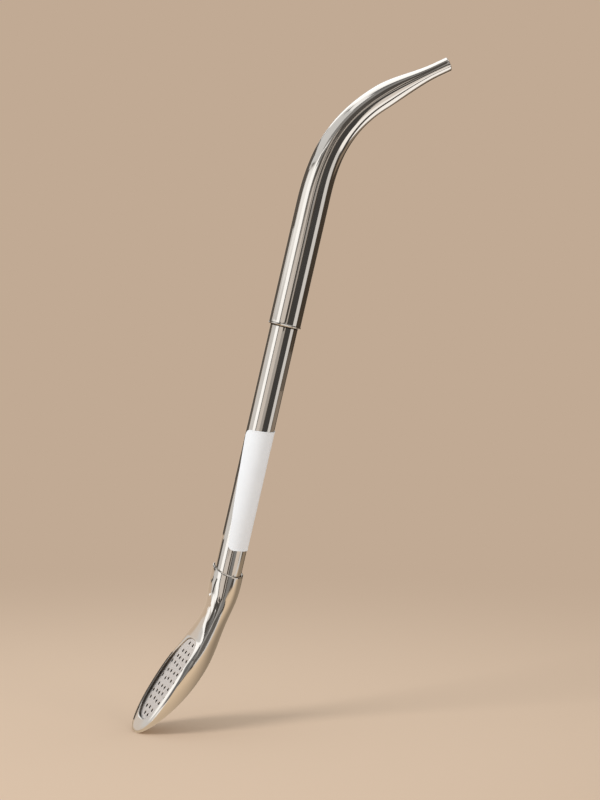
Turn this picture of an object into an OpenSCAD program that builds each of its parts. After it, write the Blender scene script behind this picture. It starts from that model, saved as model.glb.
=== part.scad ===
// Bombilla: a metal straw for drinking mate, with a spoon-shaped strainer at its foot.
// It comes apart into a mouthpiece, a stem and a spoon. All lengths are in millimetres.
// The straw leans as it does in a gourd, and the spoon's lowest point is the origin.

/* [Stem] */
// Outside diameter of the stem tube
stem_d = 8; // [6:0.1:10]
// Wall of the stem tube
stem_wall = 0.5; // [0.3:0.05:1]
// Length of stem that shows between the spoon's collar and the mouthpiece
stem_bare = 71.3; // [55:0.1:120]

/* [Push fits] */
// Gap all round between the stem and each socket that it pushes into
fit_gap = 0.05; // [0.02:0.01:0.1]
// Gap between each end of the stem and the bottom of its socket
end_gap = 0.1; // [0.05:0.05:0.5]
// Thickness of the sheet that the mouthpiece and the spoon are made of
sheet = 0.55; // [0.4:0.05:0.8]

/* [Mouthpiece] */
// Straight length of the sleeve, which is the depth of its socket
sleeve_length = 34; // [20:0.5:60]
// Length of tube that is bent over
bend_length = 49; // [40:0.5:80]
// Angle that the tube turns through, in degrees
bend_angle = 52; // [20:1:80]
// Straight length from the end of the bend to the tip
tip_length = 10.3; // [5:0.1:20]
// Height of the tube where the bend has drawn it oval
bend_height = 7.2; // [6:0.1:8.5]
// Length of tube, back from the tip, over which the mouth is pressed flat
press_length = 21.5; // [12:0.5:30]
// Length of mouth, back from the tip, that keeps one height
mouth_flat = 3.7; // [1:0.1:8]
// Height of the flat mouth
mouth_height = 4; // [2.5:0.1:6]
// Width of the flat mouth
mouth_width = 12; // [9.5:0.1:14]

/* [Spoon] */
// Length of the spoon from its collar to its tip, along its middle line
spoon_length = 53.4; // [48:0.1:70]
// Depth of the collar's socket
collar_depth = 6.5; // [5:0.1:8]
// Slant of the collar's cut end, in degrees
collar_slant = 15; // [0:1:20]
// Side of the stem to which that cut falls, in degrees round the stem from +X
collar_slant_side = -54; // [-180:1:180]
// Length of neck below the collar before the neck bends
neck_straight = 3; // [2:0.1:5]
// Length of neck that is bent
neck_length = 10; // [8:0.1:14]
// Angle that the neck turns through, in degrees
neck_bend = 21.5; // [10:0.5:35]
// Distance from the collar to where the neck starts to widen
shoulder_at = 8; // [6:0.5:12]
// Distance from the collar to the deepest part of the bowl
belly_at = 28; // [24:0.5:32]
// Distance from the collar to the widest part of the bowl
widest_at = 36; // [32:0.5:38]
// Width of the bowl
bowl_width = 19; // [17:0.1:24]
// Depth of the bowl behind its face
bowl_depth = 7.4; // [5.5:0.1:10]
// Height of the rolled rim in front of the face
rim_height = 0.9; // [0.5:0.1:1.5]

/* [Filter plate] */
// Length of the plate
plate_length = 27.2; // [20:0.1:30]
// Width of the plate
plate_width = 15; // [10:0.1:15.5]
// Thickness of the plate
plate_thickness = 0.4; // [0.3:0.05:0.6]
// Distance from the plate's lower end to the spoon's tip
plate_to_tip = 4; // [3.5:0.1:6]
// Gap between the plate's edge and the rim round it
plate_gap = 0.1; // [0.05:0.05:0.2]
// Width of the ledge that the plate lies on
ledge_width = 0.8; // [0.5:0.1:1.5]
// Thickness of that ledge
ledge_thickness = 0.6; // [0.4:0.1:0.8]
// Diameter of the punched holes
hole_d = 1; // [0.6:0.1:1.6]
// Distance between neighbouring holes
hole_pitch = 2.7; // [2:0.1:4]
// Distance from the plate's edge to the nearest hole's centre
hole_margin = 1.3; // [1:0.1:3]

/* [Label] */
// Length of the paper label along the stem
label_length = 34.5; // [15:0.5:45]
// Width of the label round the stem
label_width = 19; // [8:0.5:20]
// Thickness of the paper
label_thickness = 0.15; // [0.1:0.05:0.3]
// Radius of the label's corners
label_corner = 1.7; // [0.5:0.1:3]
// Distance from the collar up to the label's lower edge
label_lift = 5.9; // [3:0.1:20]
// Side of the stem that the middle of the label faces, in degrees round the stem from +X
label_side = 4; // [-180:1:180]
// Slant of the label on the stem, in degrees
label_slant = 5.2; // [0:0.1:8]

/* [Pose] */
// Lean of the stem from upright, in degrees
lean = 13; // [0:1:30]
// Turn of the spoon's face round the stem, in degrees out of the mouthpiece's plane
spoon_turn = 20; // [-90:1:90]

/* [Hidden] */
$fn = 64;
// Sides of a lofted section, and the spacing of the sections along a loft
loft_sides = 32;
loft_step = 2.4;
// Points over which the length of a bend is added up
trace_steps = 40;
// A lofted tube starts this far inside the round tube it grows out of, and this much slimmer
loft_overlap = 0.6;
loft_inset = 0.01;
// Fullness of an oval: 2 is an ellipse, more is squarer
round_fullness = 2;
rim_fullness = 3;
mouth_fullness = 2.6;
plate_fullness = 2.8;
// Fullness of the spoon's tip, seen from the front and from the side
nose_fullness = 2.3;
heel_fullness = 0.85;
// Sections of the spoon's rounded tip, which crowd together towards the point
nose_sections = 9;
plate_points = 64;
label_columns = 28;
label_rows = 12;
glue = 0.02;
// Reach of a cut past the surface that it opens
clear = 1;

stem_r = stem_d / 2;
socket_r = stem_r + fit_gap;
tube_r = socket_r + sheet;
mouth_end = sleeve_length + bend_length + tip_length;
press_from = mouth_end - press_length;
plate_bottom = spoon_length - plate_to_tip;
plate_middle = plate_bottom - plate_length / 2;
plate_top = plate_bottom - plate_length;
cavity_end = plate_bottom + loft_overlap;

steel = "silver";
satin_steel = "gainsboro";
paper = "white";

function ramp(t) = let (c = min(max(t, 0), 1)) c * c * (3 - 2 * c);
function mix(a, b, t) = a + (b - a) * t;
function power(v, p) = sign(v) * pow(abs(v), p);
function halves(quad) = [[quad[0], quad[1], quad[2]], [quad[0], quad[2], quad[3]]];

// Points [across, in] of an oval whose two halves may differ in height and in fullness
function oval(half_width, front, back, front_fullness, back_fullness) = [
    for (j = [0:loft_sides - 1])
        let (a = 360 * j / loft_sides, n = sin(a) > 0 ? front_fullness : back_fullness)
        [half_width * power(cos(a), 2 / n), (sin(a) > 0 ? front : back) * power(sin(a), 2 / n)]
];

// Place [x, z] reached after length s on a line that starts along +Z and turns to +X by turn(s)
function trace(turn, s) =
    let (h = s / trace_steps, k = [0:trace_steps - 1])
    h * ([for (i = k) 1] * [for (i = k) let (a = turn((i + 0.5) * h)) [sin(a), cos(a)]]);

// Section of a bent tube at length s, with its front towards the inside of the bend
function section(turn, s, points) =
    let (p = trace(turn, s), a = turn(s))
    [for (q = points) [p.x + cos(a) * q.y, q.x, p.y - sin(a) * q.y]];

function spaced(from, to) =
    let (n = ceil((to - from) / loft_step))
    [for (i = [0:n]) mix(from, to, i / n)];

// Solid through a list of sections, ending in a flat face or, where a tip is given, in a point
module loft(sections, tip) {
    n = loft_sides;
    last = len(sections) - 1;
    points = concat([for (ring = sections) each ring], is_undef(tip) ? [] : [tip]);
    walls = [for (i = [0:last - 1], j = [0:n - 1])
        let (k = (j + 1) % n) each halves([i * n + j, i * n + k, (i + 1) * n + k, (i + 1) * n + j])];
    start = [[for (j = [n - 1:-1:0]) j]];
    end = is_undef(tip)
        ? [[for (j = [0:n - 1]) last * n + j]]
        : [for (j = [0:n - 1]) [last * n + j, last * n + (j + 1) % n, len(points) - 1]];
    polyhedron(points, concat(start, walls, end));
}

// The mouthpiece's tube: how far it has turned, and its half height and half width, at length s
bend_turn = function(s) bend_angle * ramp((s - sleeve_length) / bend_length);
function mouth_half_height(s) =
    let (drawn = ramp((s - sleeve_length) / (press_from - sleeve_length)),
         pressed = ramp((s - press_from) / (press_length - mouth_flat)))
    mix(mix(tube_r, bend_height / 2, drawn), mouth_height / 2, pressed);
function mouth_half_width(s) =
    mix(tube_r, mouth_width / 2, ramp((s - sleeve_length) / (mouth_end - sleeve_length)));
function mouth_oval(s, inset) =
    let (h = mouth_half_height(s) - inset,
         n = mix(round_fullness, mouth_fullness, ramp((s - press_from) / press_length)))
    oval(mouth_half_width(s) - inset, h, h, n, n);
function mouth_sections(from, to, inset) =
    [for (s = spaced(from, to)) section(bend_turn, s, mouth_oval(s, inset))];

// The spoon, worked out as a tube that rises from its collar with its face inside the bend
neck_turn = function(s) neck_bend * ramp((s - neck_straight) / neck_length);
function nose(s) =
    let (t = max((s - widest_at) / (spoon_length - widest_at), 0))
    pow(1 - pow(t, nose_fullness), 1 / nose_fullness);
function face_share(s) = ramp((s - neck_straight) / (plate_top - neck_straight));
function bowl_half_width(s) =
    nose(s) * mix(tube_r, bowl_width / 2, ramp((s - shoulder_at) / (widest_at - shoulder_at)));
function bowl_back(s) =
    s < belly_at
    ? mix(tube_r, bowl_depth, ramp((s - shoulder_at) / (belly_at - shoulder_at)))
    : bowl_depth * pow(1 - pow((s - belly_at) / (spoon_length - belly_at), 2), heel_fullness);
function bowl_oval(s, front, inset) =
    let (n = mix(round_fullness, rim_fullness, face_share(s)))
    oval(bowl_half_width(s) - inset, front, bowl_back(s) - inset, n, round_fullness);
function rim_front(s) = sqrt(nose(s)) * mix(tube_r, rim_height, face_share(s));
function cavity_front(s) = mix(tube_r - sheet, -plate_thickness - ledge_thickness, face_share(s));

spoon_stations = concat(
    spaced(neck_straight - loft_overlap, widest_at),
    [for (i = [1:nose_sections]) mix(widest_at, spoon_length, sin(90 * i / (nose_sections + 1)))]
);
spoon_sections = [
    for (s = spoon_stations)
        section(neck_turn, s, bowl_oval(s, rim_front(s) - loft_inset, loft_inset))
];
cavity_sections = [
    for (s = spaced(collar_depth - loft_overlap, cavity_end))
        section(neck_turn, s, bowl_oval(s, cavity_front(s) - loft_inset, sheet + loft_inset))
];
spoon_tip = let (p = trace(neck_turn, spoon_length)) [p.x, 0, p.y];

// The straw stands on the spoon's lowest point once it leans
function hung(p) = [
    -p.x * cos(spoon_turn) - p.y * sin(spoon_turn),
    -p.x * sin(spoon_turn) + p.y * cos(spoon_turn),
    -p.z
];
spoon_points = [for (ring = concat(spoon_sections, [[spoon_tip]])) for (p = ring) hung(p)];
spoon_heights = [for (p = spoon_points) p.z * cos(lean) - p.x * sin(lean)];
foot = spoon_points[search(min(spoon_heights), spoon_heights)[0]];

// Everything is drawn along the stem, with the middle of the collar's cut end at the origin
module leaning() rotate([0, lean, 0]) translate(-foot) children();
module hanging() rotate([0, 0, spoon_turn]) rotate([0, 180, 0]) children();

// Draws on the spoon's face: x runs to the tip, y across, z out of the face
module on_face() {
    p = trace(neck_turn, plate_middle);
    translate([p.x, 0, p.y]) rotate([0, neck_bend, 0]) rotate([0, 90, 0]) rotate([0, 0, 180]) children();
}

function plate_outline(grow) = [
    for (i = [0:plate_points - 1])
        let (a = 360 * i / plate_points)
        [(plate_length / 2 + grow) * power(cos(a), 2 / plate_fullness),
         (plate_width / 2 + grow) * power(sin(a), 2 / plate_fullness)]
];
function on_plate(p) =
    pow(abs(p.x) / (plate_length / 2 - hole_margin), plate_fullness)
    + pow(abs(p.y) / (plate_width / 2 - hole_margin), plate_fullness) <= 1;

row_pitch = hole_pitch * sin(60);
row_count = floor(plate_length / 2 / row_pitch);
column_count = ceil(plate_width / 2 / hole_pitch) + 1;
holes = [
    for (i = [-row_count:row_count], j = [-column_count:column_count])
        let (p = [i * row_pitch, (j + (abs(i) % 2) / 2) * hole_pitch])
        if (on_plate(p)) p
];

// Point of the label at the given distances across and up from its middle, on a cylinder
function label_point(r, across, up) =
    let (turn = label_side + (across - up * tan(label_slant)) / stem_r * 180 / PI)
    [r * cos(turn), r * sin(turn), label_lift + label_length / 2 + up];
function label_half_length(across) =
    let (past = max(abs(across) - (label_width / 2 - label_corner), 0))
    label_length / 2 - label_corner + sqrt(max(label_corner * label_corner - past * past, 0));

module mouthpiece()
    color(steel) leaning() translate([0, 0, stem_bare]) difference() {
        union() {
            cylinder(r = tube_r, h = sleeve_length);
            loft(mouth_sections(sleeve_length - loft_overlap, mouth_end, loft_inset));
        }
        translate([0, 0, -clear]) cylinder(r = socket_r, h = sleeve_length + clear);
        loft(mouth_sections(sleeve_length - loft_overlap, mouth_end + clear, sheet + loft_inset));
    }

module stem_tube()
    color(steel) leaning() translate([0, 0, end_gap - collar_depth]) {
        length = collar_depth + stem_bare + sleeve_length - 2 * end_gap;
        difference() {
            cylinder(r = stem_r, h = length);
            translate([0, 0, -clear]) cylinder(r = stem_r - stem_wall, h = length + 2 * clear);
        }
    }

module label()
    color(paper) leaning() {
        step = label_width / label_columns / stem_r * 180 / PI;
        inner_r = (stem_r + glue) / cos(step / 2);
        row = label_rows + 1;
        sheet_size = (label_columns + 1) * row;
        points = [
            for (r = [inner_r, inner_r + label_thickness], i = [0:label_columns], k = [0:label_rows])
                let (across = label_width * (i / label_columns - 0.5))
                label_point(r, across, label_half_length(across) * (2 * k / label_rows - 1))
        ];
        inside = [for (i = [0:label_columns - 1], k = [0:label_rows - 1])
            each halves([i * row + k, (i + 1) * row + k, (i + 1) * row + k + 1, i * row + k + 1])];
        outside = [for (f = inside) [for (v = [2:-1:0]) f[v] + sheet_size]];
        rim = concat(
            [for (k = [0:label_rows]) k],
            [for (i = [1:label_columns]) i * row + label_rows],
            [for (k = [label_rows - 1:-1:0]) label_columns * row + k],
            [for (i = [label_columns - 1:-1:1]) i * row]
        );
        edges = [for (i = [0:len(rim) - 1])
            let (a = rim[i], b = rim[(i + 1) % len(rim)])
                each halves([a, b, b + sheet_size, a + sheet_size])];
        polyhedron(points, concat(inside, outside, edges));
    }

module spoon_shell()
    color(steel) leaning() {
        top = tube_r * tan(collar_slant) + loft_overlap;
        difference() {
            union() {
                hanging() loft(spoon_sections, spoon_tip);
                translate([0, 0, -neck_straight]) cylinder(r = tube_r, h = neck_straight + top);
            }
            hanging() {
                loft(cavity_sections);
                on_face() {
                    translate([0, 0, -plate_thickness])
                        linear_extrude(plate_thickness + rim_height + clear)
                            polygon(plate_outline(plate_gap));
                    translate([0, 0, -plate_thickness - ledge_thickness - clear])
                        linear_extrude(ledge_thickness + 2 * clear) polygon(plate_outline(-ledge_width));
                }
            }
            translate([0, 0, -collar_depth]) cylinder(r = socket_r, h = collar_depth + top + clear);
            rotate([0, 0, collar_slant_side]) rotate([0, collar_slant, 0])
                cylinder(r = 2 * tube_r, h = 2 * tube_r);
        }
    }

module filter_plate()
    color(satin_steel) leaning() hanging() on_face() translate([0, 0, -plate_thickness]) difference() {
        linear_extrude(plate_thickness) polygon(plate_outline(0));
        for (p = holes)
            translate([p.x, p.y, -clear]) cylinder(d = hole_d, h = plate_thickness + 2 * clear);
    }

mouthpiece();
stem_tube();
label();
spoon_shell();
filter_plate();
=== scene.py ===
import math

import bmesh
import bpy
import numpy as np
from mathutils import Matrix, Vector


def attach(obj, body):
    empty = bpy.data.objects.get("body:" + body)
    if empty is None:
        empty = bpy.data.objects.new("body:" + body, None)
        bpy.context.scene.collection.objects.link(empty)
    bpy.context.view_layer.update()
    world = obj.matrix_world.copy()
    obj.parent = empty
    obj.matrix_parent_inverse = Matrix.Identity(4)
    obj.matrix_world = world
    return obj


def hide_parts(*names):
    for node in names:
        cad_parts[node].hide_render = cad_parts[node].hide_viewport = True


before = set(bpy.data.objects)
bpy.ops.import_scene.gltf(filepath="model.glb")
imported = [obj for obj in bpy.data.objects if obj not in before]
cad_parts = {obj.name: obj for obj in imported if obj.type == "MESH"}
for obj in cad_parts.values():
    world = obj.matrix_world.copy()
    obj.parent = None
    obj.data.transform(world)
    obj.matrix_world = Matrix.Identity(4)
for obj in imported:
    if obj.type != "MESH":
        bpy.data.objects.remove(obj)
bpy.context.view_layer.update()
bpy.context.scene.view_settings.view_transform = "Standard"


# Stem: a straight drawn tube of stainless steel, 8 mm across with a wall of half a millimetre.
# Both ends are cut square and eased, and push into the spoon's collar and the mouthpiece's sleeve.
# Pieces are drawn along the stem in millimetres. STANDING leans them, with the lowest point at the origin.
MM, LEAN = 0.001, math.radians(13)
LOWEST = Vector((-14.9023, -7.19362, -50.1748))
STANDING = Matrix.Scale(MM, 4) @ Matrix.Rotation(LEAN, 4, "Y") @ Matrix.Translation(-LOWEST)
STEM_R, STEM_WALL, STEM_EASE, STEM_STEP = 4.0, 0.5, 0.12, 1.0
STEM_BARE, SLEEVE_LENGTH, COLLAR_DEPTH, END_GAP = 71.3, 34.0, 6.5, 0.1
TUBE_SIDES, PATH_POINTS, LIP_POINTS, EASE_POINTS, TUBE_CREASE = 128, 400, 9, 6, 40
WELD = 0.0001


def add(tree, kind, feeds=None, **settings):
    """Adds a node, makes its settings, and links or fills its inputs from other nodes or values."""
    made = tree.nodes.new(kind)
    for name, value in settings.items():
        setattr(made, name, value)
    for key, value in (feeds or {}).items():
        for one in value if isinstance(value, list) else [value]:
            if isinstance(one, bpy.types.Node):
                one = next(s for s in one.outputs if s.enabled)
            if isinstance(one, bpy.types.NodeSocket):
                tree.links.new(one, made.inputs[key])
            else:
                made.inputs[key].default_value = one
    return made


def new_tree(name, inputs):
    """An empty Geometry Nodes tree with these named inputs, and its input node."""
    tree = bpy.data.node_groups.new(name, "GeometryNodeTree")
    tree.interface.new_socket("Geometry", in_out="OUTPUT", socket_type="NodeSocketGeometry")
    for label, kind in inputs.items():
        tree.interface.new_socket(label, in_out="INPUT", socket_type="NodeSocket" + kind)
    return tree, tree.nodes.new("NodeGroupInput").outputs


def put(name, data):
    """Adds an object with this mesh, lamp or camera to the scene."""
    made = bpy.data.objects.new(name, data)
    bpy.context.scene.collection.objects.link(made)
    return made


def settle(made):
    """Applies an object's modifiers, returns the result as a plain mesh and removes the object."""
    bpy.context.view_layer.update()
    mesh = bpy.data.meshes.new_from_object(made.evaluated_get(bpy.context.evaluated_depsgraph_get()))
    bpy.data.objects.remove(made)
    return mesh


def grow(name, tree, start, values):
    """Runs a tree on a start mesh with the given inputs and returns the result as a plain mesh."""
    seed = put(name + "_start", start)
    modifier = seed.modifiers.new("shape", "NODES")
    modifier.node_group = tree
    for item in tree.interface.items_tree:
        if item.in_out == "INPUT" and item.name in values:
            modifier[item.identifier] = values[item.name]
    mesh = settle(seed)
    bpy.data.meshes.remove(start)
    return mesh


def finish_piece(name, mesh, place, crease, body, node):
    """Closes a mesh, turns its faces outwards, puts it in place and hands it to its body."""
    shape = bmesh.new()
    shape.from_mesh(mesh)
    bmesh.ops.remove_doubles(shape, verts=shape.verts, dist=WELD)
    bmesh.ops.recalc_face_normals(shape, faces=shape.faces)
    if shape.calc_volume(signed=True) < 0:
        bmesh.ops.reverse_faces(shape, faces=shape.faces)
    shape.to_mesh(mesh)
    shape.free()
    mesh.transform(place)
    mesh.name = name
    mesh.shade_smooth()
    mesh.set_sharp_from_angle(angle=math.radians(crease))
    piece = put(name, mesh)
    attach(piece, body)
    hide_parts(node)


def skin_line(name, length, wall, ease, step, flare=0.0, flare_length=0.4):
    """A closed line up a tube's outside, over its end, down its inside and round its other end.
    Each point knows its length along the tube and its depth into the wall. The first end may flare."""
    lip = ease + flare / 2
    run = np.linspace(lip + flare_length, length - ease, int(length / step))
    run = np.concatenate([np.linspace(lip, lip + flare_length, LIP_POINTS)[:-1], run])
    quarter = np.linspace(0, math.pi / 2, EASE_POINTS)[1:-1]
    corner = [(1 - math.cos(t), math.sin(t)) for t in quarter]
    points = [(s, -flare * max(1 - (s - lip) / flare_length, 0) ** 2) for s in run]
    points += [(length - ease + ease * up, ease * deep) for deep, up in corner]
    points += [(length, ease), (length, wall - ease)]
    points += [(length - ease + ease * up, wall - ease * deep) for deep, up in reversed(corner)]
    points += [(s, wall) for s in run[::-1]]
    points += [(lip - lip * up, wall - lip * deep) for deep, up in corner]
    points += [(0.0, wall - lip), (0.0, lip - flare)]
    points += [(lip - lip * up, lip * deep - flare) for deep, up in reversed(corner)]
    count = len(points)
    closed = [(i, (i + 1) % count) for i in range(count)]
    mesh = bpy.data.meshes.new(name)
    mesh.from_pydata([(deep, 0, s) for s, deep in points], closed, [])
    for label, column in (("along", 0), ("inset", 1)):
        values = [p[column] for p in points]
        mesh.attributes.new(label, "FLOAT", "POINT").data.foreach_set("value", values)
    return mesh


# The tube tree wraps that line round a path that may bend, with a section that may flatten.
tree, given = new_tree("bent_tube", {
    "Skin line": "Geometry", "Length": "Float", "Radius": "Float",
    "Bend start": "Float", "Bend end": "Float", "Bend angle": "Float", "Bend half height": "Float",
    "Press start": "Float", "Press end": "Float", "Mouth half height": "Float",
    "Mouth half width": "Float", "Mouth fullness": "Float", "Material": "Material",
})
stride = add(tree, "ShaderNodeMath", {0: given["Length"], 1: PATH_POINTS - 1}, operation="DIVIDE")
halfway = add(tree, "ShaderNodeMath", {0: add(tree, "GeometryNodeInputIndex"), 1: 0.5})
reached = add(tree, "ShaderNodeMath", {0: halfway, 1: stride}, operation="MULTIPLY")
turned = add(tree, "ShaderNodeMapRange", {
    "Value": reached, "From Min": given["Bend start"], "From Max": given["Bend end"],
    "To Max": given["Bend angle"]}, interpolation_type="SMOOTHSTEP")
heading = add(tree, "ShaderNodeCombineXYZ", {
    "X": add(tree, "ShaderNodeMath", {0: turned}, operation="SINE"),
    "Z": add(tree, "ShaderNodeMath", {0: turned}, operation="COSINE")})
stepped = add(tree, "ShaderNodeVectorMath", {0: heading, "Scale": stride}, operation="SCALE")
walked = add(tree, "GeometryNodeAccumulateField", {0: stepped}, data_type="FLOAT_VECTOR")
straight = add(tree, "GeometryNodeResampleCurve", {
    "Curve": add(tree, "GeometryNodeCurvePrimitiveLine"), "Count": PATH_POINTS})
path = add(tree, "GeometryNodeSetPosition", {
    "Geometry": straight, "Position": walked.outputs["Trailing"]})

share = add(tree, "ShaderNodeMath", {
    0: add(tree, "GeometryNodeInputIndex"), 1: math.tau / TUBE_SIDES}, operation="MULTIPLY")
profile = add(tree, "GeometryNodeStoreNamedAttribute", {
    "Geometry": add(tree, "GeometryNodeCurvePrimitiveCircle", {"Resolution": TUBE_SIDES}),
    "Name": "round", "Value": share}, data_type="FLOAT", domain="POINT")
skin = add(tree, "GeometryNodeCurveToMesh", {
    "Curve": add(tree, "GeometryNodeMeshToCurve", {"Mesh": given["Skin line"]}),
    "Profile Curve": profile})

along, inset, around = (
    add(tree, "GeometryNodeInputNamedAttribute", {"Name": n}, data_type="FLOAT")
    for n in ("along", "inset", "round"))
drawn = add(tree, "ShaderNodeMapRange", {
    "Value": along, "From Min": given["Bend start"], "From Max": given["Press start"],
    "To Min": given["Radius"], "To Max": given["Bend half height"]}, interpolation_type="SMOOTHSTEP")
pressed = add(tree, "ShaderNodeMapRange", {
    "Value": along, "From Min": given["Press start"], "From Max": given["Press end"]},
    interpolation_type="SMOOTHSTEP")
tall = add(tree, "ShaderNodeMapRange", {
    "Value": pressed, "To Min": drawn, "To Max": given["Mouth half height"]})
wide = add(tree, "ShaderNodeMapRange", {
    "Value": along, "From Min": given["Bend start"], "From Max": given["Length"],
    "To Min": given["Radius"], "To Max": given["Mouth half width"]}, interpolation_type="SMOOTHSTEP")
fullness = add(tree, "ShaderNodeMapRange", {
    "Value": along, "From Min": given["Press start"], "From Max": given["Length"],
    "To Min": 2.0, "To Max": given["Mouth fullness"]}, interpolation_type="SMOOTHSTEP")
exponent = add(tree, "ShaderNodeMath", {0: 2.0, 1: fullness}, operation="DIVIDE")
reach = []
for size, wave in ((wide, "COSINE"), (tall, "SINE")):
    swing = add(tree, "ShaderNodeMath", {0: around}, operation=wave)
    bare = add(tree, "ShaderNodeMath", {0: swing}, operation="ABSOLUTE")
    fuller = add(tree, "ShaderNodeMath", {0: bare, 1: exponent}, operation="POWER")
    sign = add(tree, "ShaderNodeMath", {0: swing}, operation="SIGN")
    signed = add(tree, "ShaderNodeMath", {0: fuller, 1: sign}, operation="MULTIPLY")
    radius = add(tree, "ShaderNodeMath", {0: size, 1: inset}, operation="SUBTRACT")
    reach.append(add(tree, "ShaderNodeMath", {0: radius, 1: signed}, operation="MULTIPLY"))
spot = add(tree, "GeometryNodeSampleCurve", {"Curves": path, "Length": along},
           mode="LENGTH", use_all_curves=True)
tangent = add(tree, "ShaderNodeSeparateXYZ", {0: spot.outputs["Tangent"]})
inwards = add(tree, "ShaderNodeCombineXYZ", {
    "X": tangent.outputs["Z"],
    "Z": add(tree, "ShaderNodeMath", {0: tangent.outputs["X"], 1: -1.0}, operation="MULTIPLY")})
depth = add(tree, "ShaderNodeVectorMath", {0: inwards, "Scale": reach[1]}, operation="SCALE")
across = add(tree, "ShaderNodeCombineXYZ", {"Y": reach[0]})
offset = add(tree, "ShaderNodeVectorMath", {0: depth, 1: across})
place = add(tree, "ShaderNodeVectorMath", {0: spot.outputs["Position"], 1: offset})
unbent = add(tree, "ShaderNodeCombineXYZ", {"X": reach[0], "Y": reach[1], "Z": along})
marked = add(tree, "GeometryNodeStoreNamedAttribute", {
    "Geometry": skin, "Name": "unbent", "Value": unbent}, data_type="FLOAT_VECTOR", domain="POINT")
shaped = add(tree, "GeometryNodeSetPosition", {"Geometry": marked, "Position": place})
solid = add(tree, "GeometryNodeRealizeInstances", {"Geometry": shaped})
dressed = add(tree, "GeometryNodeSetMaterial", {"Geometry": solid, "Material": given["Material"]})
add(tree, "NodeGroupOutput", {"Geometry": dressed})
tube_tree = tree


def colour(hex_value):
    """An sRGB hex colour as linear red, green, blue and full alpha."""
    parts = [int(hex_value[i:i + 2], 16) / 255 for i in (1, 3, 5)]
    return (*(p / 12.92 if p <= 0.04045 else ((p + 0.055) / 1.055) ** 2.4 for p in parts), 1.0)


def clear_tree(owner):
    """Switches on the nodes of a material or world, empties them and returns their tree."""
    owner.use_nodes = True
    owner.node_tree.nodes.clear()
    return owner.node_tree


def new_material(name):
    """A material with no nodes yet, and its tree."""
    made = bpy.data.materials.new(name)
    return made, clear_tree(made)


# Polished stainless steel, buffed on a wheel across the tube: crisp bands of reflection that are
# drawn out a little along the tube by faint rings, and duller patches where hands have been.
# The rings are 0.35 mm apart, coarser than a real buff leaves, so that they show.
STEEL, STEEL_PALE, STEEL_SMOOTH, STEEL_DULL = "#D3CEC7", "#DEDAD4", 0.05, 0.1
BUFF_SPACING, BUFF_WAVER, HAND_WIDTH, HAND_LENGTH = 0.35, 0.12, 5, 9
polished_steel, tree = new_material("polished_stainless_steel")
lengthwise = add(tree, "ShaderNodeAttribute", attribute_name="unbent")
rings_at = add(tree, "ShaderNodeMapping", {
    "Vector": lengthwise.outputs["Vector"], "Scale": (BUFF_WAVER, BUFF_WAVER, 1 / BUFF_SPACING)})
rings = add(tree, "ShaderNodeTexNoise", {
    "Vector": rings_at, "Scale": 1.0, "Detail": 3.0, "Roughness": 0.6})
hands_at = add(tree, "ShaderNodeMapping", {
    "Vector": lengthwise.outputs["Vector"], "Scale": (1 / HAND_WIDTH, 1 / HAND_WIDTH, 1 / HAND_LENGTH)})
hands = add(tree, "ShaderNodeTexNoise", {
    "Vector": hands_at, "Scale": 1.0, "Detail": 4.0, "Roughness": 0.55})
tint = add(tree, "ShaderNodeMix", {
    "Factor": hands, 6: colour(STEEL), 7: colour(STEEL_PALE)}, data_type="RGBA")
dull = add(tree, "ShaderNodeMapRange", {
    "Value": hands, "From Min": 0.35, "From Max": 0.7, "To Min": STEEL_SMOOTH, "To Max": STEEL_DULL})
buffed = add(tree, "ShaderNodeBump", {"Height": rings, "Strength": 0.25, "Distance": 0.000004})
shader = add(tree, "ShaderNodeBsdfPrincipled", {
    "Metallic": 1.0, "Base Color": tint.outputs[2], "Roughness": dull, "Normal": buffed})
add(tree, "ShaderNodeOutputMaterial", {"Surface": shader})

# Painted shade: a dark brown mixed into the steel for the shade in the gap under the mouthpiece's lip and
# in the recess of the plate's seat.
SHADE_BROWN = "#33281C"


def shaded_copy(name):
    """A copy of the polished steel with a dark brown of painted shade mixed in, and the socket that says
    how much.
    """
    made = polished_steel.copy()
    made.name = name
    tree = made.node_tree
    # Dark brown painted shade, mixed over the steel's own tint.
    tea = add(tree, "ShaderNodeMix", {6: tree.nodes["Mix"].outputs[2], 7: colour(SHADE_BROWN)}, data_type="RGBA")
    tree.links.new(tea.outputs[2], tree.nodes["Principled BSDF"].inputs["Base Color"])
    return made, tree, tea.inputs["Factor"]


# The stem's own steel has a ring of painted shade, dark brown and 0.4 mm wide, where the mouthpiece's lip
# stands: the shade of the gap under the lip.
SHADE_RING_AT, SHADE_RING_WIDTH = COLLAR_DEPTH - END_GAP + STEM_BARE, 0.4
shade_ringed_steel, tree, shade_share = shaded_copy("shade_ringed_stainless_steel")
up_stem = add(tree, "ShaderNodeSeparateXYZ", {0: tree.nodes["Attribute"].outputs["Vector"]}).outputs["Z"]
off_ring = add(tree, "ShaderNodeMath", {0: up_stem, 1: SHADE_RING_AT - SHADE_RING_WIDTH / 4}, operation="SUBTRACT")
off_ring = add(tree, "ShaderNodeMath", {0: off_ring}, operation="ABSOLUTE")
shade_ring = add(tree, "ShaderNodeMapRange", {
    "Value": off_ring, "From Min": SHADE_RING_WIDTH * 0.75, "From Max": SHADE_RING_WIDTH / 4})
tree.links.new(shade_ring.outputs[0], shade_share)

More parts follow.
